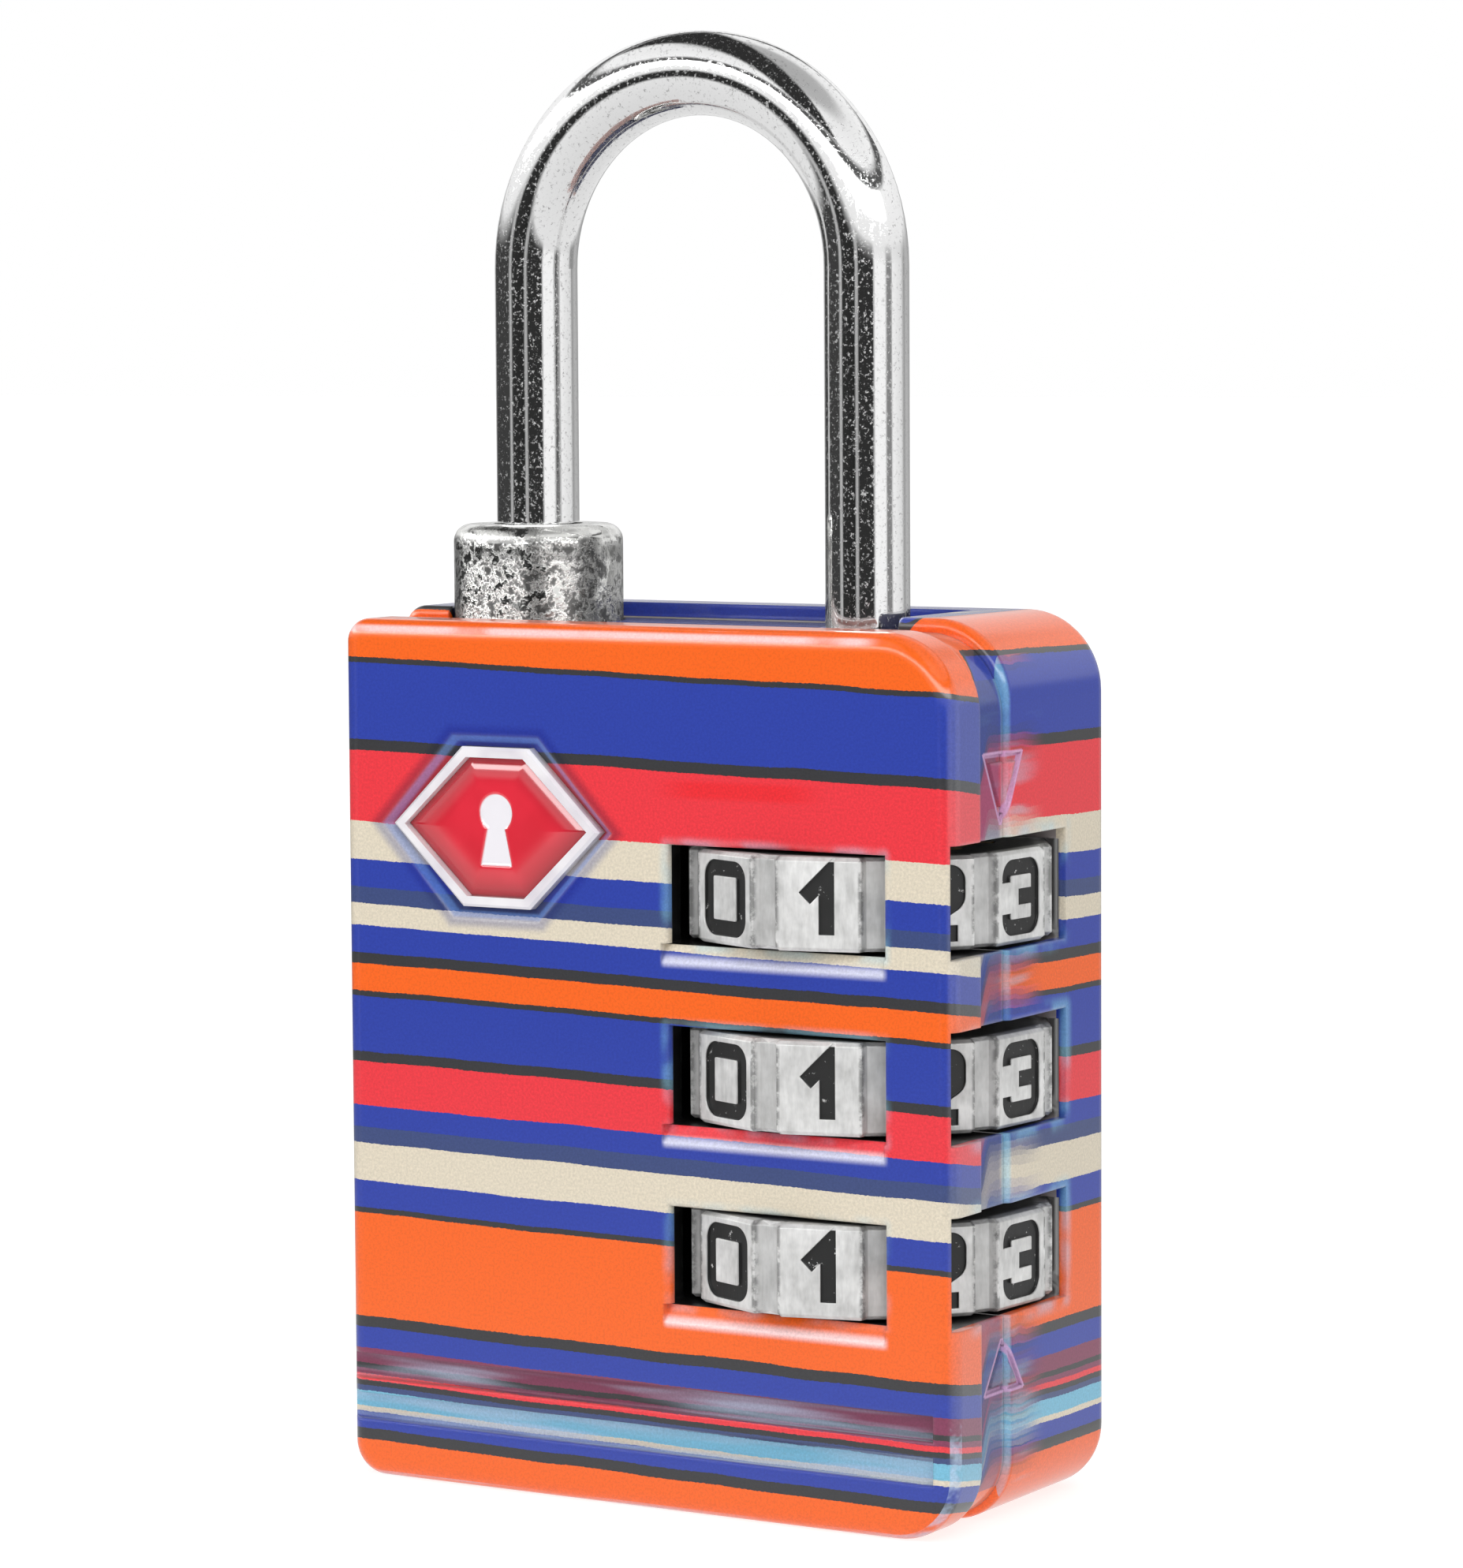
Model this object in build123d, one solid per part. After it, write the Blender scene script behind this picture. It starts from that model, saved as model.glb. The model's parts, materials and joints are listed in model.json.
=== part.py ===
from build123d import *
from math import cos, radians, sin
import os

# A three-dial luggage padlock with an inspection-key override.
# Millimetres. X is the width, the front face looks toward -Y, Z is up.
# The origin is the middle of the flat base.

# ---- body ----
BODY_WIDTH = 30.0
BODY_DEPTH = 14.0
FRONT_TOP = 37.45            # top rim of the front housing
REAR_TOP = 37.8              # top rim of the rear housing, a little higher
CHANNEL_FLOOR = 37.2         # floor of the shallow channel round the shackle legs
SEAM_Y = -2.2                # where the two housings meet on the outside
STEP_Y = -4.45               # the front housing steps in behind this depth
STEP_IN = 0.22
CORNERS = (1.5, 2.9, 3.4, 1.0)   # outline radii: bottom left, bottom right, top right, top left
FRONT_EDGE_ROUND = 0.8
REAR_EDGE_ROUND = 0.9
SEAM_ROUND = 0.4
HALF_W = BODY_WIDTH / 2
HALF_D = BODY_DEPTH / 2
BOSS_X = (-13.9, 11.6)       # the front housing reaches back to the column axes here
BOSS_BOTTOM = 1.4
CHANNEL_X = (-12.6, 9.9)
CHANNEL_BACK = 4.2
FACE_GROOVES = ((4.32, 5.42), (2.52, 3.68))   # heights of the two grooves low on the front
FACE_GROOVE_DEPTH = 0.45
FACE_GROOVE_END = 14.05
STUD_R = 0.7
STUD_LENGTH = 9.4
STUD_PLACES = ((-2.9, 3.7), (12.9, 4.1), (-2.9, 33.4), (12.9, 33.4))
MARK_Y = -2.4                # index marks straddle the side seam
MARK_HALF = 1.4
MARK_LINE = 0.2              # width of an engraved mark's line
MARK_DEPTH = 0.14
MARKS = ((29.45, 32.3), (7.9, 5.8))   # heights of point and base, above and below the dials

# ---- shackle ----
WIRE_R = 1.8
HEEL_X = 7.2                 # long leg, which is also the dial axis
TOE_X = -9.3                 # short leg, which is also the key-plug axis
ARCH_Z = 52.45               # where the straight legs end and the bow begins
TOE_END = 38.1
TOE_TIP_R = 1.6              # the tip is thinner where it enters the collar
HEEL_END = 5.2
SPINDLE_R = 1.7              # the long leg inside the dials
FIN_R = 2.8
FIN_WIDTH = 1.3
FIN_THICK = 1.2
FIN_GAP = 0.15               # between a locked fin and the hub above it
LEG_BORE = 1.95              # radius of the housing bores round the legs
BUSH_R = 3.2
BUSH_BOTTOM = 30.0           # the top fin stops here, 5.6 above its locked place
BUSH_TOP = 36.4
LIFT_SPRING = (1.4, 0.4, 5)  # coil radius, wire thickness, turns
LIFT_SPRING_FLOOR = 1.0

# ---- dials ----
DIAL_PITCH = 7.625
DIAL_MIDDLE_Z = 18.62
DIAL_Z = {
    "top": DIAL_MIDDLE_Z + DIAL_PITCH,
    "middle": DIAL_MIDDLE_Z,
    "bottom": DIAL_MIDDLE_Z - DIAL_PITCH,
}
DIAL_R = 7.83                # over the ridges between the number flats
DIAL_HEIGHT = 3.9
DIGITS = 10
FLAT_HALF_ANGLE = 13.5       # degrees, half of one number flat
GROOVE_R = 7.5               # floor of the finger groove between two flats
ENGRAVE_DEPTH = 0.14
STROKE = 0.68                # width of an engraved line
DIGIT_TALL = 2.5             # centre line of the strokes
DIGIT_WIDE = 2.2
SHOWN_DIGIT = 3              # the number at the side mark, +X
RING_TURN = -4.5             # degrees, how far the flats sit round from the +X line
POCKET_R = 8.05
WINDOW_HEIGHT = 4.2
FRONT_WINDOW = (1.45, 11.8)  # X range
REAR_WINDOW = (2.4, 12.0)
SIDE_WINDOW = (-6.75, 3.0)   # Y range
SIDE_WINDOW_RISE = 0.5       # the side openings reach higher than the front ones
JAMB_DEPTH = 1.8             # the front end of each side opening is splayed this far in
WINDOW_ROUND = 0.25
LIP = 0.45                   # thickness of the front face round the windows
LIP_SLOPE = 0.75             # height of the sloped edge under each front window
RIM_CHAMFER = 0.16
HUB_R = 4.85
HUB_BORE = 2.0
TOOTH_DEPTH = 0.45
SPACER_R = 3.85
SPACER_BORE = 3.1
WEB_BORE = 4.0
RESET_SPRING = (3.75, 0.5, 4)
RESET_WELL_R = 4.35
LEAF_X = (-2.3, -2.05)       # detent leaf, a thin upright strip
LEAF_Y = (-0.8, 4.0)
LEAF_Z = (8.2, 29.1)

# ---- key override ----
COLLAR_R = 3.7
COLLAR_TOP = 41.4
COLLAR_HOLE_R = 1.95
COLLAR_DROP = 4.0
TAIL_R = 3.1
TAIL_END = 28.4
SPRING_LEDGE = 30.4          # the collar spring stands here
SHOULDER_Z = 36.6            # and pushes here
COLLAR_SPRING = (3.45, 0.4, 5)
CAM_R = 4.2
CAM_BOTTOM = 22.9
CAM_TOP = 30.2
PIN_Z = 29.2                 # cross pin in the collar's tail
PIN_R = 0.42
SLOT_R = 0.6
PLUG_R = 3.0
PLUG_BOTTOM = 0.25
PLUG_TOP = 22.0
SLEEVE_R = 4.4
SLEEVE_TOP = 21.6
KEYWAY = (1.1, 4.4)
KEYWAY_TOP = 17.6
DRIVE_HALF = 1.35            # half width of the square between plug and cam
WAFER_Z = (5.0, 7.6, 10.2, 12.8, 15.4)
STOP_Z = 19.6

# ---- badge seat ----
BADGE_X = -7.1
BADGE_Z = 28.7
BADGE_SEAT = (5.87, 3.94, 2.2)    # half width, half height, half length of the top edge
BADGE_RIM = (5.22, 3.43, 1.7)
BADGE_FIELD = (4.62, 2.98, 1.45)
BADGE_DEPTH = 0.5


def round_bar(x, y, radius, low, high):
    """Upright cylinder between two heights."""
    return Pos(x, y, (low + high) / 2) * Cylinder(radius, high - low)


def block(x0, x1, y0, y1, z0, z1):
    """Box given by its corners."""
    return Pos((x0 + x1) / 2, (y0 + y1) / 2, (z0 + z1) / 2) * Box(x1 - x0, y1 - y0, z1 - z0)


def tube(x, y, outer, inner, low, high):
    """Upright tube between two heights."""
    return round_bar(x, y, outer, low, high) - round_bar(x, y, inner, low - 0.01, high + 0.01)


def outline_block(inset, top, y0, y1):
    """Slab of the body's outline, drawn in by inset, between two depths."""
    left, right = -HALF_W + inset, HALF_W - inset
    bottom = inset
    face = Pos(0, (bottom + top) / 2) * Rectangle(right - left, top - bottom)
    places = ((left, bottom), (right, bottom), (right, top), (left, top))
    for (x, z), radius in zip(places, CORNERS):
        corner = face.vertices().sort_by_distance(Vector(x, z, 0))[0]
        face = fillet(corner, radius)
    return extrude(Plane.XZ.offset(-y1) * face, y1 - y0)


def rim_edges(solid, y):
    """Outline edges of the flat face at one depth."""
    face = solid.faces().filter_by(Axis.Y).sort_by_distance(Vector(0, y, 18))[0]
    return face.outer_wire().edges()


def hexagon(size):
    """Six-cornered plate outline with tips to the left and right."""
    half_wide, half_tall, half_top = size
    points = [
        (half_wide, 0), (half_top, half_tall), (-half_top, half_tall),
        (-half_wide, 0), (-half_top, -half_tall), (half_top, -half_tall),
    ]
    return make_face(Polyline(*points, close=True))


def side_window(z):
    """Opening on the side over one dial, with its front end splayed."""
    front, rear = SIDE_WINDOW
    corner = HALF_W - 0.2
    points = [
        (12.0, rear), (corner + 1.2, rear), (corner + 1.2, front - 1.2),
        (corner - JAMB_DEPTH, front + JAMB_DEPTH), (12.0, front + JAMB_DEPTH),
    ]
    floor = Plane.XY.offset(z - WINDOW_HEIGHT / 2)
    return extrude(floor * make_face(Polyline(*points, close=True)), WINDOW_HEIGHT + SIDE_WINDOW_RISE)


def dial_windows():
    """Openings over the three dials, front, side and rear."""
    half = WINDOW_HEIGHT / 2
    cuts = []
    for z in DIAL_Z.values():
        cuts.append(block(*FRONT_WINDOW, -HALF_D - 1, -5.0, z - half, z + half))
        cuts.append(side_window(z))
        cuts.append(block(*REAR_WINDOW, 5.0, HALF_D + 1, z - half, z + half))
    return cuts


def window_slopes():
    """Sloped lower edge of each front window."""
    front, half = -HALF_D - 0.01, WINDOW_HEIGHT / 2
    cuts = []
    for z in DIAL_Z.values():
        sill = z - half
        points = [(front, sill - LIP_SLOPE), (front, sill + 0.05), (front + LIP, sill + 0.05)]
        face = make_face(Polyline(*points, close=True))
        start = Plane.YZ.offset(FRONT_WINDOW[0] - 0.3)
        cuts.append(extrude(start * face, FRONT_WINDOW[1] - FRONT_WINDOW[0] + 0.3))
    return cuts


def dial_cavities():
    """Pockets and bores of the dial column."""
    half = WINDOW_HEIGHT / 2
    low_hub = DIAL_Z["bottom"] - DIAL_HEIGHT / 2
    high_hub = DIAL_Z["top"] + DIAL_HEIGHT / 2
    cuts = [round_bar(HEEL_X, 0, POCKET_R, z - half, z + half) for z in DIAL_Z.values()]
    for z in DIAL_Z.values():
        left, right = FRONT_WINDOW
        cuts.append(block(left - 0.5, right, -HALF_D + LIP, -3.0, z - half, z + half))
    cuts.append(round_bar(HEEL_X, 0, WEB_BORE, low_hub - 0.15, high_hub + 0.1))
    cuts.append(round_bar(HEEL_X, 0, RESET_WELL_R, HEEL_END - 0.4, low_hub))
    cuts.append(round_bar(HEEL_X, 0, LEG_BORE, LIFT_SPRING_FLOOR, HEEL_END))
    cuts.append(round_bar(HEEL_X, 0, SPACER_BORE, high_hub, BUSH_BOTTOM))
    cuts.append(round_bar(HEEL_X, 0, BUSH_R, BUSH_BOTTOM, BUSH_TOP))
    cuts.append(round_bar(HEEL_X, 0, LEG_BORE, BUSH_TOP - 0.4, REAR_TOP + 1))
    depths = (LEAF_Y[0] - 0.2, LEAF_Y[1] + 0.2)
    heights = (LEAF_Z[0] - 0.2, LEAF_Z[1] + 0.2)
    cuts.append(block(LEAF_X[0] - 0.2, 0.2, *depths, *heights))
    return cuts


def key_cavities():
    """Stepped bore for the key plug, its cam and the collar."""
    return [
        round_bar(TOE_X, 0, SLEEVE_R, 0.6, CAM_BOTTOM - 0.1),
        round_bar(TOE_X, 0, PLUG_R + 0.05, -1, 0.7),
        round_bar(TOE_X, 0, CAM_R + 0.15, CAM_BOTTOM - 0.2, CAM_TOP + 0.1),
        round_bar(TOE_X, 0, TAIL_R + 0.1, CAM_TOP, SPRING_LEDGE + 0.1),
        round_bar(TOE_X, 0, COLLAR_R + 0.1, SPRING_LEDGE, REAR_TOP + 1),
    ]


def index_marks(surface_x):
    """Engraved triangle outlines on the side, one above and one below the dials."""
    tools = []
    for point_z, base_z in MARKS:
        outer = [(MARK_Y, point_z), (MARK_Y - MARK_HALF, base_z), (MARK_Y + MARK_HALF, base_z)]
        middle_z = (point_z + 2 * base_z) / 3
        shrink = 1 - 2.4 * MARK_LINE / MARK_HALF
        inner = [(MARK_Y + (y - MARK_Y) * shrink, middle_z + (z - middle_z) * shrink) for y, z in outer]
        face = make_face(Polyline(*outer, close=True)) - make_face(Polyline(*inner, close=True))
        tools.append(extrude(Plane.YZ.offset(surface_x - MARK_DEPTH) * face, 1.0))
    return tools


def front_boss():
    """The front housing reaches back to the column axes inside the walls."""
    return block(*BOSS_X, SEAM_Y - 0.2, 0, BOSS_BOTTOM, CHANNEL_FLOOR)


def window_edges(housing):
    """Edges where the dial windows meet the front or rear face."""
    found = []
    for edge in housing.edges():
        middle = edge.center()
        on_face = abs(abs(middle.Y) - HALF_D) < 0.01
        inside = 1.0 < middle.X < 13.5 and 8.5 < middle.Z < 29.0
        if on_face and inside:
            found.append(edge)
    return found


def cut_all(solid, tools):
    """Subtract every tool."""
    for tool in tools:
        solid = solid - tool
    return solid


def front_housing():
    """Front shell: face plate, recessed strip, badge seat, two grooves, half of each bore."""
    plate = outline_block(0, FRONT_TOP, -HALF_D, STEP_Y)
    plate = fillet(rim_edges(plate, -HALF_D), FRONT_EDGE_ROUND)
    plate = fillet(rim_edges(plate, STEP_Y), 0.12)
    strip = outline_block(STEP_IN, FRONT_TOP - STEP_IN, STEP_Y - 0.3, SEAM_Y)
    shell = plate + strip + front_boss()
    seat_outer = Plane.XZ.offset(HALF_D) * Pos(BADGE_X, BADGE_Z) * hexagon(BADGE_SEAT)
    seat_inner = Plane.XZ.offset(HALF_D - BADGE_DEPTH) * Pos(BADGE_X, BADGE_Z) * hexagon(BADGE_RIM)
    shell -= loft([seat_outer, seat_inner])
    for low, high in FACE_GROOVES:
        shell -= block(-HALF_W - 1, FACE_GROOVE_END, -HALF_D - 1, -HALF_D + FACE_GROOVE_DEPTH, low, high)
    shell = cut_all(shell, dial_windows())
    shell = fillet(window_edges(shell), WINDOW_ROUND)
    shell = cut_all(shell, window_slopes() + dial_cavities() + key_cavities())
    shell = cut_all(shell, index_marks(HALF_W - STEP_IN))
    for x, z in STUD_PLACES:
        shell -= Pos(x, -2.6, z) * Rot(90, 0, 0) * Cylinder(STUD_R, 5.6)
    return shell


def rear_housing():
    """Rear shell: the deeper half, with the channel round the shackle legs."""
    shell = outline_block(0, REAR_TOP, SEAM_Y, HALF_D)
    shell = fillet(rim_edges(shell, SEAM_Y), SEAM_ROUND)
    shell = fillet(rim_edges(shell, HALF_D), REAR_EDGE_ROUND)
    shell -= block(*CHANNEL_X, SEAM_Y - 1, CHANNEL_BACK, CHANNEL_FLOOR, REAR_TOP + 1)
    shell -= front_boss()
    shell = cut_all(shell, dial_windows())
    shell = fillet(window_edges(shell), WINDOW_ROUND)
    shell = cut_all(shell, dial_cavities() + key_cavities() + index_marks(HALF_W))
    for x, z in STUD_PLACES:
        shell -= Pos(x, 1.0, z) * Rot(90, 0, 0) * Cylinder(STUD_R, 6.4)
    return shell


def housing_studs():
    """Four studs pressed through both housings from inside."""
    stud = Rot(90, 0, 0) * Cylinder(STUD_R, STUD_LENGTH)
    return Compound(children=[Pos(x, -0.6, z) * stud for x, z in STUD_PLACES])


def fin(z_high):
    """Blocking fin on the long leg, pointing at +X."""
    half = FIN_WIDTH / 2
    slab = block(HEEL_X, HEEL_X + FIN_R + 0.2, -half, half, z_high - FIN_THICK, z_high)
    return slab & round_bar(HEEL_X, 0, FIN_R, z_high - FIN_THICK - 1, z_high + 1)


def shackle():
    """Bow, short toe leg and long heel leg with its three fins, one bent wire."""
    bow_x = (HEEL_X + TOE_X) / 2
    bow_r = (HEEL_X - TOE_X) / 2
    section = Plane(origin=(HEEL_X, 0, ARCH_Z), z_dir=(0, 0, 1)) * Circle(WIRE_R)
    bow = revolve(section, Axis((bow_x, 0, ARCH_Z), (0, -1, 0)), 180)
    toe = round_bar(TOE_X, 0, WIRE_R, COLLAR_TOP + 0.1, ARCH_Z)
    tip = round_bar(TOE_X, 0, TOE_TIP_R, TOE_END, COLLAR_TOP + 0.1)
    tip = chamfer(tip.edges().sort_by(Axis.Z)[0], 0.4)
    heel = round_bar(HEEL_X, 0, WIRE_R, 30.5, ARCH_Z)
    spindle = round_bar(HEEL_X, 0, SPINDLE_R, HEEL_END, 30.5)
    wire = bow + toe + tip + heel + spindle
    for z in DIAL_Z.values():
        wire += fin(z - DIAL_HEIGHT / 2 - FIN_GAP)
    return wire


def dial_blank(z):
    """Number ring before engraving: ten flats with a finger groove between each two."""
    step = 360 / DIGITS
    points = []
    for k in range(DIGITS):
        middle = k * step
        for offset, radius in (
            (-FLAT_HALF_ANGLE, DIAL_R), (FLAT_HALF_ANGLE, DIAL_R),
            (FLAT_HALF_ANGLE + 1.6, GROOVE_R), (step - FLAT_HALF_ANGLE - 1.6, GROOVE_R),
        ):
            angle = radians(middle + offset)
            points.append((radius * cos(angle), radius * sin(angle)))
    ring = extrude(make_face(Polyline(*points, close=True)), DIAL_HEIGHT)
    ends = ring.faces().filter_by(Axis.Z)
    rims = ends[0].outer_wire().edges() + ends[1].outer_wire().edges()
    ring = chamfer(rims, RIM_CHAMFER)
    return Pos(HEEL_X, 0, z - DIAL_HEIGHT / 2) * Rot(0, 0, RING_TURN) * ring


def stroke(points, turn):
    """Centre line through the points, its corners rounded."""
    return FilletPolyline(*points, radius=turn)


def digit_lines(number):
    """Centre lines of one numeral, drawn with single strokes and rounded turns."""
    w, h = DIGIT_WIDE / 2, DIGIT_TALL / 2
    turn = 0.42
    right_half = stroke([(0, h), (w, h), (w, -h), (0, -h)], turn)
    left_half = stroke([(0, h), (-w, h), (-w, -h), (0, -h)], turn)
    lines = {
        0: [right_half, left_half],
        1: [Polyline((-0.6, h - 1.0), (0.35, h - 0.05), (0.35, -h))],
        2: [stroke([(-w, h - 0.6), (-w, h), (w, h), (w, 0.1), (-w, -h), (w, -h)], 0.34)],
        3: [stroke([(-w, h - 0.6), (-w, h), (w, h), (w, 0)], turn),
            stroke([(-w, -h + 0.6), (-w, -h), (w, -h), (w, 0)], turn),
            Polyline((-0.2, 0), (w, 0))],
        4: [Polyline((0.35, -h), (0.35, h)), Polyline((0.35, h), (-w, -0.45), (w, -0.45))],
        5: [stroke([(w, h), (-w, h), (-w, 0.3), (w, 0.3), (w, -h), (-w, -h), (-w, -h + 0.6)], 0.34)],
        6: [stroke([(w, h), (-w, h), (-w, -h), (w, -h), (w, 0.1), (0, 0.1)], turn),
            Polyline((-w, 0.1), (0.05, 0.1))],
        7: [Polyline((-w, h), (w, h), (-0.1, -h))],
        8: [right_half, left_half, Polyline((-w, 0), (w, 0))],
        9: [stroke([(-w, -h), (w, -h), (w, h), (-w, h), (-w, -0.1), (0, -0.1)], turn),
            Polyline((-0.05, -0.1), (w, -0.1))],
    }
    return lines[number]


def digit_cutters():
    """Ten engraving tools round the dial, at the origin of the dial axis."""
    flat = DIAL_R * cos(radians(FLAT_HALF_ANGLE))
    cutters = []
    for number in range(DIGITS):
        face = Sketch() + [trace(line, STROKE) for line in digit_lines(number)]
        angle = (number - SHOWN_DIGIT) * 360 / DIGITS + RING_TURN
        tool = extrude(Plane.YZ.offset(flat - ENGRAVE_DEPTH) * face, 1.0)
        cutters.append(Rot(0, 0, angle) * tool)
    return cutters


def toothed_disc(radius, depth):
    """Round outline with ten square teeth, which the ring and the hub share."""
    outline = Circle(radius)
    for k in range(DIGITS):
        tooth = Pos(radius, 0) * Rectangle(2 * depth, 0.9)
        outline += Rot(0, 0, (k + 0.5) * 360 / DIGITS) * tooth
    return outline


def dial_ring(z):
    """Outer ring of one dial, with engraved numerals and a toothed bore."""
    ring = dial_blank(z)
    bore = extrude(toothed_disc(HUB_R + 0.05, TOOTH_DEPTH + 0.05), DIAL_HEIGHT + 1)
    ring -= Pos(HEEL_X, 0, z - DIAL_HEIGHT / 2 - 0.5) * bore
    for cutter in digit_cutters():
        ring -= Pos(HEEL_X, 0, z) * cutter
    return ring


def dial_hub(z):
    """Clutch hub inside one dial; its gate lets a fin pass in one position."""
    hub = extrude(toothed_disc(HUB_R, TOOTH_DEPTH), DIAL_HEIGHT)
    hub = Pos(HEEL_X, 0, z - DIAL_HEIGHT / 2) * hub
    hub -= round_bar(HEEL_X, 0, HUB_BORE, z - 5, z + 5)
    half_gate = FIN_WIDTH / 2 + 0.2
    hub -= block(HEEL_X, HEEL_X + FIN_R + 0.25, -half_gate, half_gate, z - 5, z + 5)
    return hub


def hub_spacer(low_dial, high_dial):
    """Sleeve that keeps two hubs apart inside the web between their pockets."""
    low = DIAL_Z[low_dial] + DIAL_HEIGHT / 2 + 0.06
    high = DIAL_Z[high_dial] - DIAL_HEIGHT / 2 - 0.06
    return tube(HEEL_X, 0, SPACER_R, SPACER_BORE, low, high)


def coil(x, spring, low, high):
    """Compression spring of (radius, wire, turns): one helical wire, ground ends left out."""
    radius, wire, turns = spring
    rise = high - low - wire
    path = Helix(pitch=rise / turns, height=rise, radius=radius, center=(0, 0, low + wire / 2))
    section = Plane(origin=path @ 0, z_dir=path % 0) * Circle(wire / 2)
    return Pos(x, 0, 0) * sweep(section, path=path, is_frenet=True)


def detent_leaf():
    """Leaf spring with three fingers that click on the dials."""
    leaf = block(*LEAF_X, *LEAF_Y, *LEAF_Z)
    for z in DIAL_Z.values():
        leaf += block(LEAF_X[0], -1.35, 1.3, 1.8, z - 1.0, z + 1.0)
    return leaf


def heel_bushing():
    """Plain bush that guides the long leg; its lower face stops the top fin."""
    return tube(HEEL_X, 0, BUSH_R, WIRE_R + 0.08, BUSH_BOTTOM, BUSH_TOP)


def spring_seat():
    """Button between the lift spring and the end of the long leg."""
    return round_bar(HEEL_X, 0, SPINDLE_R + 0.05, HEEL_END - 0.8, HEEL_END)


def toe_collar():
    """Plated collar round the toe tip, with a tail that runs down into the cam."""
    head = round_bar(TOE_X, 0, COLLAR_R, SHOULDER_Z, COLLAR_TOP)
    head = fillet(head.edges().sort_by(Axis.Z)[-1], 0.75)
    tail = round_bar(TOE_X, 0, TAIL_R, TAIL_END, SHOULDER_Z)
    collar = head + tail
    collar -= round_bar(TOE_X, 0, COLLAR_HOLE_R, TOE_END - 0.5, COLLAR_TOP + 1)
    collar -= Pos(TOE_X, 0, PIN_Z) * Rot(90, 0, 0) * Cylinder(PIN_R, 20)
    return collar


def collar_pin():
    """Cross pin of the collar's tail, which rides in the cam's two helical slots."""
    return Pos(TOE_X, 0, PIN_Z) * Rot(90, 0, 0) * Cylinder(PIN_R, 2 * CAM_R - 0.2)


def square_drive(low, high):
    """Square bar that turns the cam with the plug."""
    return block(TOE_X - DRIVE_HALF, TOE_X + DRIVE_HALF, -DRIVE_HALF, DRIVE_HALF, low, high)


def lift_cam():
    """Cup on the key plug whose two helical slots draw the collar pin down."""
    cup = round_bar(TOE_X, 0, CAM_R, CAM_BOTTOM, CAM_TOP)
    cup -= round_bar(TOE_X, 0, TAIL_R + 0.12, CAM_BOTTOM + 1.0, CAM_TOP + 1)
    steps = 12
    for k in range(steps + 1):
        share = k / steps
        bore = Rot(0, 0, -90 * share) * Rot(90, 0, 0) * Cylinder(SLOT_R, 2 * CAM_R + 2)
        cup -= Pos(TOE_X, 0, PIN_Z - COLLAR_DROP * share) * bore
    return cup - square_drive(CAM_BOTTOM - 1, CAM_BOTTOM + 2)


def key_plug():
    """Rotating plug with the keyway, wafer slots, stop groove and square drive."""
    plug = round_bar(TOE_X, 0, PLUG_R, PLUG_BOTTOM, PLUG_TOP)
    wide, tall = KEYWAY
    plug -= block(TOE_X - wide / 2, TOE_X + wide / 2, -tall / 2, tall / 2, -1, KEYWAY_TOP)
    for z in WAFER_Z:
        plug -= block(TOE_X - 1.3, TOE_X + 1.3, -4, 4, z - 0.45, z + 0.45)
    groove = tube(TOE_X, 0, PLUG_R + 1, PLUG_R - 0.7, STOP_Z - 0.6, STOP_Z + 0.6)
    sector = make_face(Polyline((0, 0), (9, 2.4), (9, -9), (-2.4, -9), close=True))
    plug -= groove & (Pos(TOE_X, 0, STOP_Z) * extrude(sector, 1, both=True))
    return plug + square_drive(PLUG_TOP - 0.1, CAM_BOTTOM + 1)


def plug_wafers():
    """Five wafers across the plug, each with its key window."""
    wafers = []
    for z in WAFER_Z:
        wafer = block(TOE_X - 1.25, TOE_X + 1.25, -2.7, 2.7, z - 0.35, z + 0.35)
        wafers.append(wafer - block(TOE_X - 0.7, TOE_X + 0.7, -2.0, 2.0, z - 1, z + 1))
    return Compound(children=wafers)


def plug_sleeve():
    """Fixed sleeve pressed into the housings, in which the plug turns."""
    sleeve = tube(TOE_X, 0, SLEEVE_R, PLUG_R + 0.05, 0.6, SLEEVE_TOP)
    return sleeve - Pos(TOE_X + 3.7, 0, STOP_Z) * Rot(0, 90, 0) * Cylinder(0.4, 3.2)


def plug_stop_pin():
    """Pin in the sleeve that lets the plug turn a quarter turn."""
    return Pos(TOE_X + 3.4, 0, STOP_Z) * Rot(0, 90, 0) * Cylinder(0.4, 1.9)


def plug_washer():
    """Thrust washer that keeps the plug from dropping out of the sleeve."""
    return tube(TOE_X, 0, 4.1, 2.0, PLUG_TOP + 0.05, CAM_BOTTOM - 0.1)


def badge_plate(size, thick):
    """Six-cornered plate standing on the floor of the badge seat."""
    return extrude(Plane.XZ.offset(HALF_D - BADGE_DEPTH) * Pos(BADGE_X, BADGE_Z) * hexagon(size), thick)


def ease_front(plate, amount):
    """Chamfer round a plate's front outline."""
    front = plate.faces().filter_by(Axis.Y).sort_by(Axis.Y)[0]
    return chamfer(front.outer_wire().edges(), amount)


def badge_rim():
    """Raised six-cornered frame of the badge."""
    return ease_front(badge_plate(BADGE_RIM, 0.55) - badge_plate(BADGE_FIELD, 2), 0.12)


def badge_insert():
    """Domed enamel field inside the badge frame."""
    return ease_front(badge_plate(BADGE_FIELD, 0.5), 0.3)


def write(name, shape):
    """Write one node."""
    export_step(shape, "parts/" + name + ".step")


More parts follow.
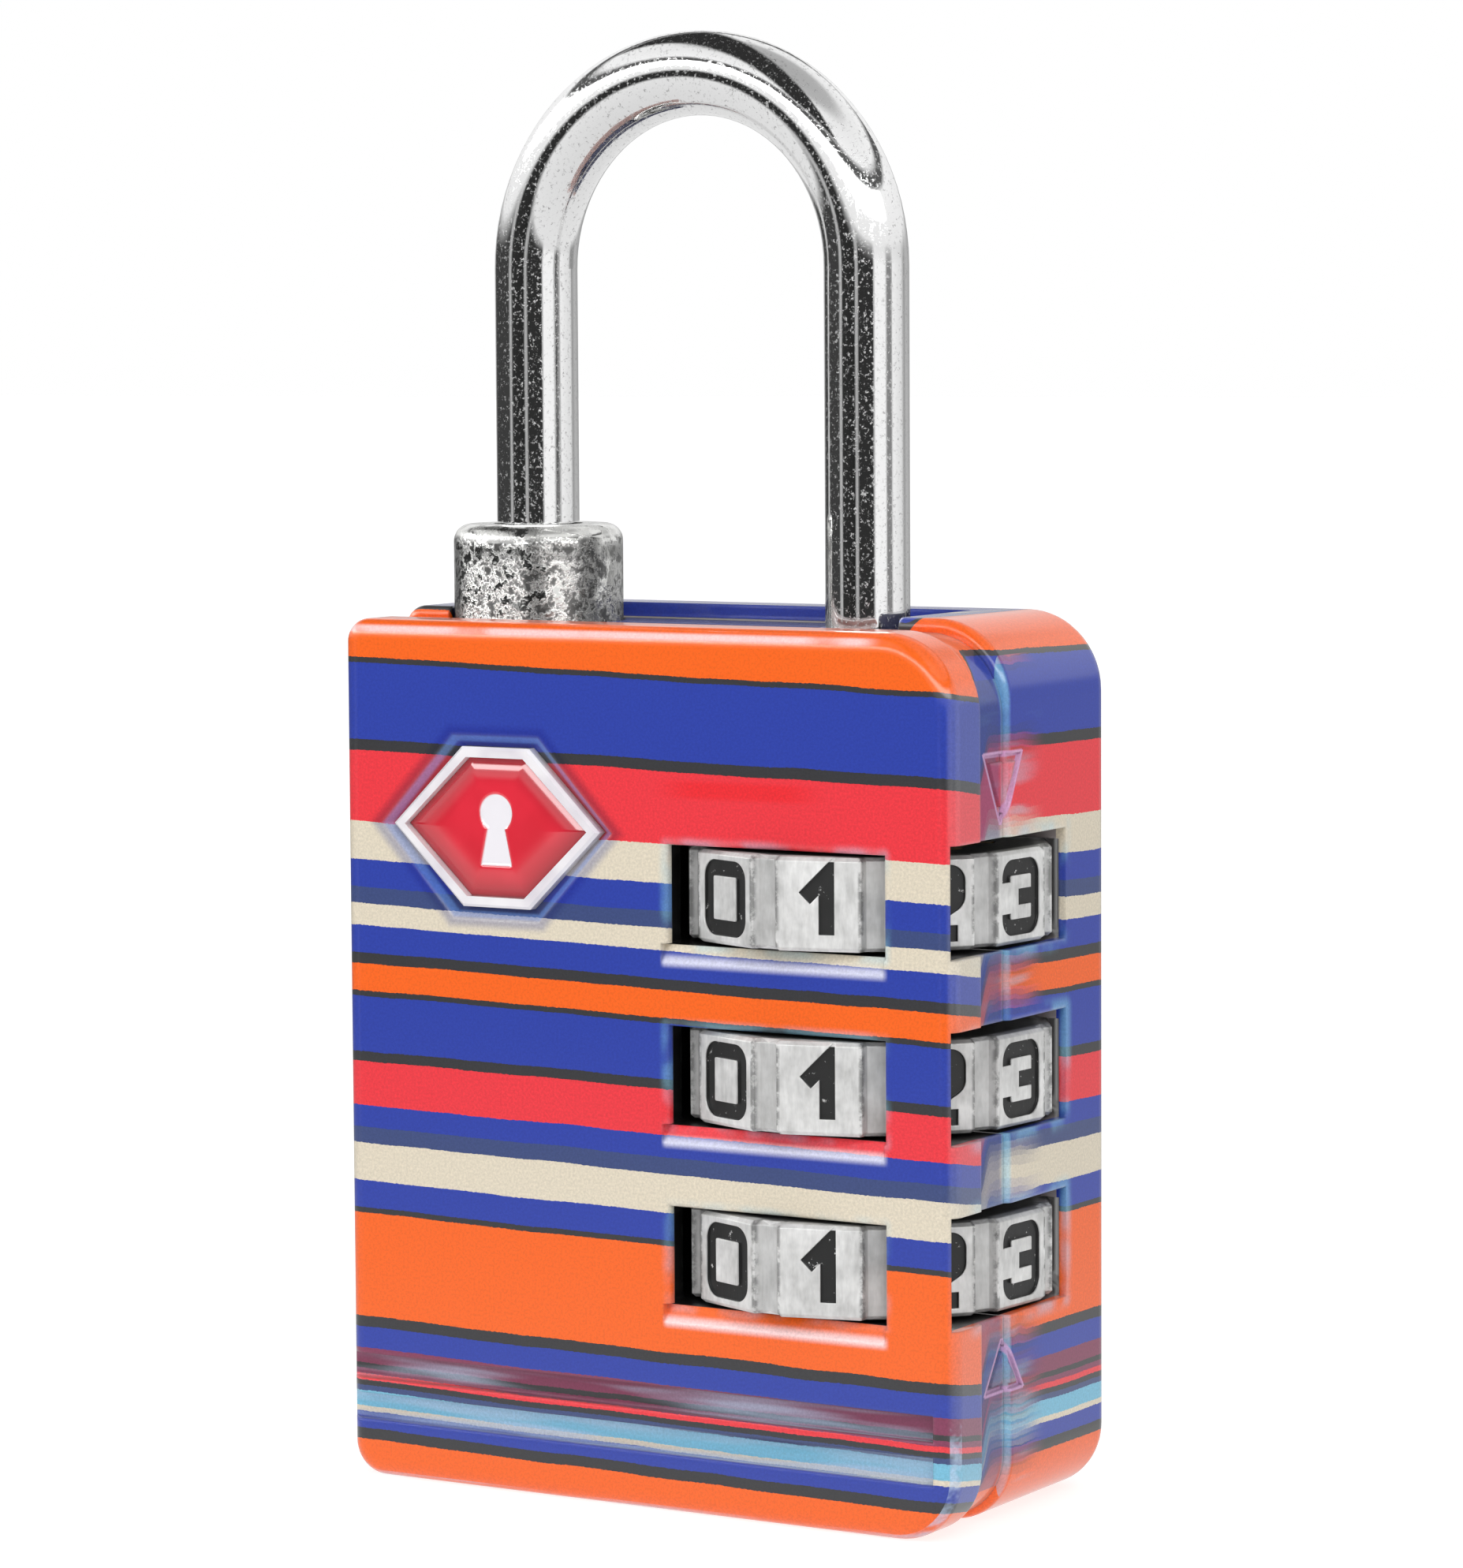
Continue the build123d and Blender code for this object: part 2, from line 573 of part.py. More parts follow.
def build_all():
    os.makedirs("parts", exist_ok=True)
    write("front_housing", front_housing())
    write("rear_housing", rear_housing())
    write("housing_studs", housing_studs())
    write("shackle", shackle())
    write("heel_bushing", heel_bushing())
    write("spring_seat", spring_seat())
    write("lift_spring", coil(HEEL_X, LIFT_SPRING, LIFT_SPRING_FLOOR, HEEL_END - 0.8))
    low_hub = DIAL_Z["bottom"] - DIAL_HEIGHT / 2
    write("reset_spring", coil(HEEL_X, RESET_SPRING, HEEL_END - 0.4, low_hub))
    for place, z in DIAL_Z.items():
        write("dial_ring_" + place, dial_ring(z))
        write("dial_hub_" + place, dial_hub(z))
    write("hub_spacer_upper", hub_spacer("middle", "top"))
    write("hub_spacer_lower", hub_spacer("bottom", "middle"))
    write("detent_leaf", detent_leaf())
    write("toe_collar", toe_collar())
    write("collar_pin", collar_pin())
    write("collar_spring", coil(TOE_X, COLLAR_SPRING, SPRING_LEDGE, SHOULDER_Z))
    write("lift_cam", lift_cam())
    write("key_plug", key_plug())
    write("plug_wafers", plug_wafers())
    write("plug_sleeve", plug_sleeve())
    write("plug_stop_pin", plug_stop_pin())
    write("plug_washer", plug_washer())
    write("badge_rim", badge_rim())
    write("badge_insert", badge_insert())


build_all()
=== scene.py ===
import json
import math

import bmesh
import bpy
from mathutils import Matrix, Vector


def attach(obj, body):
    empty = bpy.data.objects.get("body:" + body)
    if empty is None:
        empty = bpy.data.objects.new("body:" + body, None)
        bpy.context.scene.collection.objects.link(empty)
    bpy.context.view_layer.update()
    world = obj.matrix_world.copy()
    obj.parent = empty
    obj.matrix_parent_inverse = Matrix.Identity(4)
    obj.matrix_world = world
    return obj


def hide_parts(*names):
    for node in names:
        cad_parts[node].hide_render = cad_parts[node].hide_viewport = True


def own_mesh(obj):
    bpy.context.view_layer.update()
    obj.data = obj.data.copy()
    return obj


# A three-dial luggage padlock: striped glossy print, chromed shackle, satin dials.
# Lengths in the looks below are millimetres unless a name says otherwise.
MM = 0.001

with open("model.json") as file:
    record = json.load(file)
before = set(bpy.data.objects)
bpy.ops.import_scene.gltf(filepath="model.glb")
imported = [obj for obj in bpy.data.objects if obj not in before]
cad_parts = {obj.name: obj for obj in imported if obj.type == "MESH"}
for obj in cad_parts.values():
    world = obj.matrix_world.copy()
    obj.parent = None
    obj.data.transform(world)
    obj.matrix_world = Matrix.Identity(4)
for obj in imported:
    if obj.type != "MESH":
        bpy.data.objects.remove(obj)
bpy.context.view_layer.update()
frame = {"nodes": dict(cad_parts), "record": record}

# ---- shared sizes, the same as in the CAD ----
HALF_W = 15.0
HALF_D = 7.0
SEAM_Y = -2.2                    # where the two housings meet
STRIP_Y = -4.45                  # the front housing steps in behind this depth
DIAL_AXIS_X = 7.2
DIAL_R = 7.83
DIGITS = 10
FLAT_HALF_ANGLE = 13.5           # degrees
DIGIT_DEPTH = 0.14
RING_TURN = -4.5                 # degrees
DIAL_PITCH = 7.625
DIAL_MIDDLE_Z = 18.62
DIAL_HALF = 1.79                 # half height of the flats, inside their chamfers
POCKET_R = 8.12                  # a touch over the pocket wall
WINDOW_HALF = 2.1
SILL_SLOPE = 0.75
WALL = 0.45                      # housing wall round the windows
FRONT_WINDOW = (1.45, 11.8)      # X range
SIDE_WINDOW = (-6.75, 3.0)       # Y range
SIDE_WINDOW_RISE = 0.5
DIAL_ROWS_Z = (8.9, 28.35)       # lower edge of the lowest window, upper edge of the highest
MARK_Y = -2.4
MARK_HALF = 1.4
MARKS = ((29.45, 32.3), (7.9, 5.8))      # (height of the point, height of the base)
GROOVES_TOP = 5.6
COLLAR_AXIS_X = -9.3
COLLAR_EDGE_Z = 41.0             # where the bright top of the collar turns into its side
BADGE_X = -7.1
BADGE_Z = 28.7
BADGE_SEAT = (5.87, 3.94, 2.2)   # half width, half height, half width of the flat top
BADGE_FIELD = (4.62, 2.98, 1.45)
BADGE_FLOOR_Y = -6.5
KEYHOLE_EYE = (0.62, 0.8)        # height above the badge centre, radius
KEYHOLE_FLARE = (0.5, -1.62)     # top and foot of the slot
KEYHOLE_NECK = (0.3, 0.22)       # half width at the top of the slot, and growth per millimetre down

# ---- colours, as seen (sRGB) ----
INK = {
    "orange": (0.95, 0.385, 0.06),
    "black": (0.2, 0.2, 0.21),
    "blue": (0.15, 0.235, 0.63),
    "red": (0.9, 0.2, 0.24),
    "cream": (0.85, 0.81, 0.73),
    "slate": (0.22, 0.28, 0.47),
    "plum": (0.5, 0.2, 0.33),
    "cyan": (0.45, 0.72, 0.83),
}

# Where the print lies on the film.
FILM_LEAN = (0.006, 0.0005)      # fall along the front per millimetre, and how it grows with height
FRONT_FALL = -0.15               # fall per millimetre back along the side of the front housing
REAR_STEP = 1.4                  # the rear housing's print sits this much higher
FOLD_Z = (36.9, 37.15)           # the film turns over the top edge here

# Print bands from the bottom up: (upper height, ink). The film also folds over the top face.
BANDS = (
    (1.3, "orange"), (1.7, "black"), (2.4, "blue"), (2.75, "cream"), (3.3, "cyan"),
    (3.65, "slate"), (3.85, "black"), (4.05, "red"), (4.3, "plum"), (4.5, "black"), (5.2, "plum"),
    (5.35, "black"), (6.15, "blue"), (6.6, "black"), (11.25, "orange"), (11.45, "black"), (12.65, "blue"),
    (14.15, "cream"), (14.9, "slate"), (15.75, "blue"), (17.85, "red"), (18.25, "black"),
    (20.4, "blue"), (20.8, "black"), (22.0, "orange"), (22.3, "black"), (23.6, "blue"),
    (24.4, "cream"), (25.1, "slate"), (26.4, "blue"), (27.95, "cream"), (31.05, "red"),
    (31.6, "black"), (34.7, "blue"), (35.15, "black"), (38.5, "orange"),
    (39.0, "black"), (43.5, "blue"), (43.9, "black"), (44.8, "cream"), (47.2, "blue"),
    (47.6, "black"), (60.0, "orange"),
)


def linear(colour):
    """Linear RGBA from an sRGB colour."""
    out = [c / 12.92 if c <= 0.04045 else ((c + 0.055) / 1.055) ** 2.4 for c in colour]
    return (*out, 1.0)


class Tree:
    """A node tree, with short ways to add nodes."""

    def __init__(self, tree):
        self.tree = tree
        self.tree.nodes.clear()

    def link(self, source, target):
        self.tree.links.new(source, target)

    def feed(self, value, socket):
        if isinstance(value, bpy.types.NodeSocket):
            self.link(value, socket)
        else:
            socket.default_value = value

    def math(self, kind, *values, clamp=False):
        node = self.tree.nodes.new("ShaderNodeMath")
        node.operation = kind
        node.use_clamp = clamp
        for value, socket in zip(values, node.inputs):
            self.feed(value, socket)
        return node.outputs[0]

    def add(self, *values):
        total = values[0]
        for value in values[1:]:
            total = self.math("ADD", total, value)
        return total

    def mul(self, *values):
        total = values[0]
        for value in values[1:]:
            total = self.math("MULTIPLY", total, value)
        return total

    def fade(self, value, start, end, low=0.0, high=1.0):
        """Smooth change from low to high as value goes from start to end."""
        node = self.tree.nodes.new("ShaderNodeMapRange")
        node.interpolation_type = "SMOOTHSTEP"
        if start > end:
            start, end, low, high = end, start, high, low
        self.feed(value, node.inputs["Value"])
        node.inputs["From Min"].default_value = start
        node.inputs["From Max"].default_value = end
        node.inputs["To Min"].default_value = low
        node.inputs["To Max"].default_value = high
        return node.outputs[0]

    def mix(self, share, first, second, blend="MIX"):
        node = self.tree.nodes.new("ShaderNodeMix")
        node.data_type = "RGBA"
        node.blend_type = blend
        self.feed(share, node.inputs[0])
        self.feed(first, node.inputs[6])
        self.feed(second, node.inputs[7])
        return node.outputs[2]

    def ramp(self, value, stops, kind="LINEAR"):
        node = self.tree.nodes.new("ShaderNodeValToRGB")
        node.color_ramp.interpolation = kind
        elements = node.color_ramp.elements
        while len(elements) < len(stops):
            elements.new(0.5)
        for element, (position, colour) in zip(elements, stops):
            element.position = position
            element.color = colour
        self.feed(value, node.inputs[0])
        return node.outputs[0]


class Net(Tree):
    """A material's node tree, with its place in millimetres to hand."""

    def __init__(self, name):
        self.material = bpy.data.materials.new(name)
        self.material.use_nodes = True
        super().__init__(self.material.node_tree)
        self.out = self.tree.nodes.new("ShaderNodeOutputMaterial")
        self.shader = self.tree.nodes.new("ShaderNodeBsdfPrincipled")
        self.link(self.shader.outputs[0], self.out.inputs[0])
        coords = self.tree.nodes.new("ShaderNodeTexCoord")
        scale = self.tree.nodes.new("ShaderNodeVectorMath")
        scale.operation = "SCALE"
        self.link(coords.outputs["Object"], scale.inputs[0])
        scale.inputs["Scale"].default_value = 1 / MM
        self.place = scale.outputs[0]
        split = self.tree.nodes.new("ShaderNodeSeparateXYZ")
        self.link(self.place, split.inputs[0])
        self.x, self.y, self.z = split.outputs

    def near(self, value, middle, outer, inner):
        """1 within the inner distance of the middle value, falling to 0 at the outer distance."""
        return self.fade(self.math("ABSOLUTE", self.add(value, -middle)), outer, inner)

    def above(self, value, limit):
        return self.math("GREATER_THAN", value, limit)

    def below(self, value, limit):
        return self.math("LESS_THAN", value, limit)

    def largest(self, *values):
        most = values[0]
        for value in values[1:]:
            most = self.math("MAXIMUM", most, value)
        return most

    def length(self, a, b):
        return self.math("SQRT", self.add(self.mul(a, a), self.mul(b, b)))

    def stretch(self, factors):
        """The place, scaled by a factor along each axis."""
        node = self.tree.nodes.new("ShaderNodeVectorMath")
        node.operation = "MULTIPLY"
        self.link(self.place, node.inputs[0])
        node.inputs[1].default_value = factors
        return node.outputs[0]

    def noise(self, scale, detail=3.0, roughness=0.5, vector=None):
        """Noise value; scale is in cycles per millimetre."""
        node = self.tree.nodes.new("ShaderNodeTexNoise")
        self.link(vector or self.place, node.inputs["Vector"])
        node.inputs["Scale"].default_value = scale
        node.inputs["Detail"].default_value = detail
        node.inputs["Roughness"].default_value = roughness
        return node.outputs[0]

    def bump(self, height, strength, distance, normal=None):
        node = self.tree.nodes.new("ShaderNodeBump")
        node.inputs["Strength"].default_value = strength
        node.inputs["Distance"].default_value = distance * MM
        self.link(height, node.inputs["Height"])
        if normal is not None:
            self.link(normal, node.inputs["Normal"])
        return node.outputs[0]

    def soft_edge(self, radius):
        """Normal with edges eased over a radius."""
        node = self.tree.nodes.new("ShaderNodeBevel")
        node.samples = 6
        node.inputs["Radius"].default_value = radius * MM
        return node.outputs[0]

    def muted_in_metal(self, colour):
        """The colour, turned nearly grey for reflected rays, so that plating near it stays neutral."""
        rays = self.tree.nodes.new("ShaderNodeLightPath")
        grey = self.tree.nodes.new("ShaderNodeRGBToBW")
        self.link(colour, grey.inputs[0])
        return self.mix(self.mul(rays.outputs["Is Glossy Ray"], 0.85), colour, grey.outputs[0])

    def set(self, **values):
        names = {"color": "Base Color", "coat": "Coat Weight", "coat_roughness": "Coat Roughness",
                 "specular": "Specular IOR Level", "coat_normal": "Coat Normal",
                 "emission_color": "Emission Color"}
        for name, value in values.items():
            key = names.get(name, name.replace("_", " ").title())
            self.feed(value, self.shader.inputs[key])
        return self.material


def band_colour(net, height):
    """Ink for a print height: constant-colour ramps, two of them because one holds 32 stops."""
    span = BANDS[-1][0]
    half = len(BANDS) // 2
    split = BANDS[half - 1][0]
    share = net.math("DIVIDE", height, span)
    parts = []
    for group, start in ((BANDS[:half], 0.0), (BANDS[half:], split)):
        stops = []
        low = start
        for high, ink in group:
            stops.append((low / span, linear(INK[ink])))
            low = high
        parts.append(net.ramp(share, stops, "CONSTANT"))
    return net.mix(net.math("GREATER_THAN", height, split), parts[0], parts[1])


def soft_bands(net, height):
    """The bands with their edges blurred, as where the film is stretched."""
    taps = [band_colour(net, net.add(height, offset)) for offset in (-0.55, -0.2, 0.2, 0.55)]
    return net.mix(0.5, net.mix(0.5, taps[0], taps[3]), net.mix(0.5, taps[1], taps[2]))


def dial_row(net):
    """Height above the middle of the nearest dial."""
    lifted = net.add(net.z, 4.5 * DIAL_PITCH - DIAL_MIDDLE_Z)
    return net.add(net.math("MODULO", lifted, DIAL_PITCH), -DIAL_PITCH / 2)


def window_distance(net):
    """Distance from the nearest dial window, outside it, on the front and on the side."""
    up = dial_row(net)
    low, high = DIAL_ROWS_Z
    gaps = []
    for along, (start, end), rise in ((net.x, FRONT_WINDOW, 0.0), (net.y, SIDE_WINDOW, SIDE_WINDOW_RISE)):
        dz = net.add(net.math("ABSOLUTE", net.add(up, -rise / 2)), -WINDOW_HALF - rise / 2)
        past_rows = net.largest(net.math("SUBTRACT", low, net.z), net.add(net.z, -high - rise))
        dz = net.largest(dz, 0.0, past_rows)
        reach = net.largest(net.math("SUBTRACT", start, along), net.add(along, -end), 0.0)
        gaps.append(net.length(reach, dz))
    return gaps


def hexagon_slope(size):
    """How much faster a hexagon of that size narrows with height than with width."""
    half_wide, half_tall, half_top = size
    return (1 - half_top / half_wide) / half_tall


def hexagon_share(net, size):
    """How far out a point lies from the badge centre, 1 on the outline of a hexagon of that size."""
    half_wide, half_tall, _ = size
    dx = net.math("ABSOLUTE", net.add(net.x, -BADGE_X))
    dz = net.math("ABSOLUTE", net.add(net.z, -BADGE_Z))
    slanted = net.add(net.mul(dx, 1 / half_wide), net.mul(dz, hexagon_slope(size)))
    return net.largest(net.mul(dz, 1 / half_tall), slanted)


def mark_lines(net):
    """Thin outlines of the two triangular index marks on the side."""
    across = net.math("ABSOLUTE", net.add(net.y, -MARK_Y))
    lines = []
    for point_z, base_z in MARKS:
        share = net.math("DIVIDE", net.add(net.z, -point_z), base_z - point_z)
        edge = net.math("ABSOLUTE", net.math("SUBTRACT", across, net.mul(share, MARK_HALF)))
        within = net.mul(net.above(share, -0.03), net.below(share, 1.03))
        lines.append(net.mul(net.fade(edge, 0.2, 0.1), within))
        lines.append(net.mul(net.near(net.z, base_z, 0.17, 0.08), net.below(across, MARK_HALF + 0.1)))
    return net.largest(*lines)


def print_height(net, on_side):
    """Height on the printed film: it leans along the front, steps at the side seam and folds over the top."""
    fall, growth = FILM_LEAN
    lean = net.mul(net.add(fall, net.mul(net.z, growth)), net.math("SUBTRACT", 14.0, net.x))
    front_shell = net.mul(net.add(net.y, HALF_D), FRONT_FALL)
    rear_shell = net.math("SUBTRACT", REAR_STEP, net.mul(net.add(net.y, 3.0), 0.02))
    behind = net.fade(net.y, STRIP_Y - 0.05, -3.3)
    shift = net.add(front_shell, net.mul(behind, net.math("SUBTRACT", rear_shell, front_shell)))
    height = net.math("SUBTRACT", net.math("SUBTRACT", net.z, lean), shift)
    over_top = net.mul(net.fade(net.z, *FOLD_Z), net.fade(net.x, 12.2, 10.2))
    height = net.add(height, net.mul(over_top, net.fade(net.y, -HALF_D, HALF_D, 0.0, 11.0)))
    wander = net.add(net.noise(0.22, 2.0), -0.5)
    grain = net.add(net.noise(7.0, 2.0, 0.6), -0.5)
    height = net.add(height, net.mul(wander, 0.22), net.mul(grain, 0.1))
    smear = net.mul(on_side, net.near(net.y, SEAM_Y + 0.3, 3.2, 0.6))
    drag = net.add(net.noise(0.55, 2.0, 0.5, net.stretch((1, 1, 1.6))), -0.5)
    return net.add(height, net.mul(smear, drag, 0.6)), smear


def pocket_mask(net):
    """Inside walls of the dial openings, which the film doesn't reach: painted near black as shade, with bare
    grey zinc toward the back.
    """
    low, high = DIAL_ROWS_Z
    pocket = net.below(net.length(net.add(net.x, -DIAL_AXIS_X), net.y), POCKET_R)
    behind = net.below(net.math("ABSOLUTE", net.y), HALF_D - WALL + 0.04)
    past_boss = net.above(net.x, 0.5)
    rows = net.mul(net.below(net.z, high + 0.6), net.above(net.z, low - 0.2))
    return net.mul(net.largest(pocket, past_boss), net.below(net.x, HALF_W - WALL), behind, rows)


def painted_edge_highlights(net):
    """Painted highlights: pale lines under each window's sill and along the top front edge."""
    left, right = FRONT_WINDOW
    sill_highlight = net.mul(net.near(dial_row(net), 0.08 - WINDOW_HALF - SILL_SLOPE, 0.36, 0.04),
                   net.fade(net.x, left - 0.4, left - 0.1), net.fade(net.x, right + 0.25, right - 0.1),
                   net.below(net.z, 25.0), net.above(net.z, 7.5), 0.8)
    edge = net.mul(net.near(net.z, 37.05, 0.22, 0.06), net.fade(net.noise(0.3, 2.0), 0.3, 0.5, 0.25, 0.75),
                   net.fade(net.x, 11.8, 10.5))
    return net.largest(sill_highlight, edge)


def film_pale_and_seam_highlight(net, on_front, on_side, smear):
    """How pale the film has turned round the windows and in its smeared streaks, with a painted highlight
    along the seam.
    """
    front_gap, side_gap = window_distance(net)
    patches = net.fade(net.noise(0.45, 2.0), 0.4, 0.65)
    rim_front = net.mul(on_front, net.fade(front_gap, 0.5, 0.05), patches, 0.55)
    rim_side = net.mul(net.fade(net.x, 14.6, 14.9), net.fade(net.y, -6.0, -4.5), net.fade(side_gap, 0.7, 0.1),
                       patches, 0.7)
    breaks = net.fade(net.noise(0.35, 2.0, 0.5, net.stretch((0.2, 0.2, 1))), 0.35, 0.6, 0.35, 1.0)
    # painted highlight: a broken pale line along the seam
    seam_highlight = net.mul(on_side, net.near(net.y, SEAM_Y + 0.05, 0.32, 0.1), breaks, 0.85)
    streaks = net.fade(net.noise(0.5, 2.0, 0.5, net.stretch((1, 0.35, 2.2))), 0.52, 0.7)
    return net.largest(rim_front, rim_side, seam_highlight, net.mul(smear, streaks, 0.5))


def badge_seat_shade_and_highlight(net, colour, on_front):
    """Painted shade and highlight in the badge seat: deeper colour on its wall and a pale highlight line at
    its foot.
    """
    seat = hexagon_share(net, BADGE_SEAT)
    # painted shade on the seat wall
    seat_shade = net.mul(on_front, net.fade(seat, 1.14, 1.03), net.fade(seat, 0.8, 0.9), 0.6)
    deeper = net.mix(1.0, colour, linear((0.55, 0.6, 0.85)), "MULTIPLY")
    # painted highlight: a pale line at the foot of the seat
    foot = net.mul(on_front, net.near(seat, 0.955, 0.05, 0.015), 0.3)
    return net.mix(foot, net.mix(seat_shade, colour, deeper), linear((0.45, 0.65, 0.95)))


def printed_paint(name):
    """Glossy film print in uneven stripes, stretched at seams and windows, with painted highlights and shade
    at its edges, seam, grooves, badge seat and dial openings.
    """
    net = Net(name)
    on_front = net.below(net.y, -HALF_D + 0.75)
    on_side = net.above(net.x, HALF_W - 0.6)
    height, smear = print_height(net, on_side)
    colour = net.mix(net.mul(smear, 0.85), band_colour(net, height), soft_bands(net, height))
    # where the film is stretched it turns pale or cyan, and a painted highlight runs along the seam; next to
    # the seam the recessed strip gets painted shade
    pale = net.mix(0.55, colour, linear((0.55, 0.82, 0.92)))
    colour = net.mix(film_pale_and_seam_highlight(net, on_front, on_side, smear), colour, pale)
    # painted highlight: pale lines under the windows and along the top front edge
    highlight_white = net.mix(0.72, colour, linear((0.97, 0.97, 1)))
    colour = net.mix(net.mul(on_front, painted_edge_highlights(net)), colour, highlight_white)
    # painted sheen: the side of the front housing, ahead of its step, turned a little paler
    front_side_sheen = net.mul(net.fade(net.x, 14.6, 14.97), net.fade(net.y, STRIP_Y + 0.1, STRIP_Y - 0.2), 0.1)
    colour = net.mix(front_side_sheen, colour, linear((0.82, 0.84, 0.86)))
    # painted shade: the recessed strip next to the seam darkened toward slate
    seam_strip_shade = net.mul(on_side, net.near(net.y, -3.4, 1.3, 0.7), 0.6)
    colour = net.mix(seam_strip_shade, colour, linear((0.19, 0.25, 0.46)))
    # a deeper red streak over the top window
    tight = net.mul(on_front, net.near(net.z, 30.7, 0.5, 0.2), net.near(net.x, 5.0, 4.5, 2.0), 0.6)
    colour = net.mix(tight, colour, net.mix(1.0, colour, linear((1, 0.55, 0.55)), "MULTIPLY"))
    colour = badge_seat_shade_and_highlight(net, colour, on_front)
    colour = net.mix(net.mul(on_side, mark_lines(net), 0.8), colour, linear((0.8, 0.62, 0.8)))
    # painted highlight: pale blue streaks along the grooves near the foot
    groove_highlight_mask = net.mul(on_front, net.below(net.z, GROOVES_TOP), net.above(net.y, -HALF_D + 0.2))
    along = net.fade(net.noise(1.4, 2.0, 0.5, net.stretch((0.06, 1, 1))), 0.4, 0.65)
    colour = net.mix(net.mul(groove_highlight_mask, along, 0.6), colour, linear((0.72, 0.8, 0.9)))
    speck = net.fade(net.noise(9.0, 3.0, 0.7), 0.3, 0.75, 0.86, 1.1)
    colour = net.mix(1.0, colour, speck, "MULTIPLY")
    # painted shade: the openings' inside walls near black, turning to bare grey zinc toward the back
    pocket_shade_and_zinc = net.mix(net.fade(net.y, 1.8, 2.8), linear((0.1, 0.1, 0.1)), linear((0.6, 0.57, 0.57)))
    colour = net.muted_in_metal(net.mix(pocket_mask(net), colour, pocket_shade_and_zinc))
    normal = net.bump(net.noise(2.5, 2.0, 0.4), 0.05, 0.05, net.soft_edge(0.16))
    return net.set(color=colour, roughness=0.38, specular=0.25, coat=0.8, coat_roughness=0.07,
                   normal=normal, coat_normal=net.bump(net.noise(0.5, 1.0), 0.04, 0.1, net.soft_edge(0.25)))


def chrome(name):
    """Polished plating with fine drawn lines, haze and a few specks."""
    net = Net(name)
    lines = net.noise(9.0, 2.0, 0.6, net.stretch((1, 1, 0.02)))
    haze = net.noise(0.5, 4.0, 0.6)
    specks = net.fade(net.noise(6.0, 5.0, 0.8), 0.56, 0.66)
    roughness = net.add(0.02, net.mul(haze, 0.05), net.mul(specks, 0.55))
    colour = net.mix(specks, linear((0.95, 0.95, 0.95)), linear((0.7, 0.7, 0.7)))
    height = net.add(net.mul(lines, 0.35), net.mul(specks, -0.6))
    return net.set(color=colour, metallic=1.0, roughness=roughness, normal=net.bump(height, 0.14, 0.02))


def rough_plating(name):
    """Cast and plated zinc: bright, but mottled like hammered metal."""
    net = Net(name)
    lumps = net.noise(0.9, 4.0, 0.55)
    pits = net.fade(net.noise(1.7, 6.0, 0.75), 0.46, 0.58)
    side = net.fade(net.z, COLLAR_EDGE_Z, COLLAR_EDGE_Z - 0.25)
    colour = net.mix(net.mul(pits, side, 0.8), linear((0.9, 0.9, 0.89)), linear((0.2, 0.2, 0.2)))
    # painted dark reflections: broad dark streaks run down the side, and a dark band lies on the shoulder
    # under the rim
    around = net.math("ARCTAN2", net.y, net.add(net.x, -COLLAR_AXIS_X))
    around = net.add(around, net.mul(net.add(net.noise(0.8, 3.0), -0.5), 0.3))
    dark_reflection_streak = net.largest(net.near(around, -1.03, 0.2, 0.06), net.near(around, -0.38, 0.24, 0.08),
                         net.fade(around, -2.0, -2.3))
    shoulder = net.near(net.z, COLLAR_EDGE_Z - 0.8, 0.4, 0.15)
    painted_dark_reflection = net.largest(net.mul(dark_reflection_streak, 0.7), net.mul(shoulder, 0.45))
    colour = net.mix(net.mul(painted_dark_reflection, side), colour, linear((0.2, 0.2, 0.2)))
    roughness = net.add(0.12, net.mul(pits, 0.22))
    depth = net.fade(net.z, COLLAR_EDGE_Z - 0.1, COLLAR_EDGE_Z - 0.4, 0.12, 1.0)
    height = net.mul(depth, net.add(lumps, net.mul(pits, -0.3)))
    return net.set(color=colour, metallic=1.0, roughness=roughness, normal=net.bump(height, 0.32, 0.3))


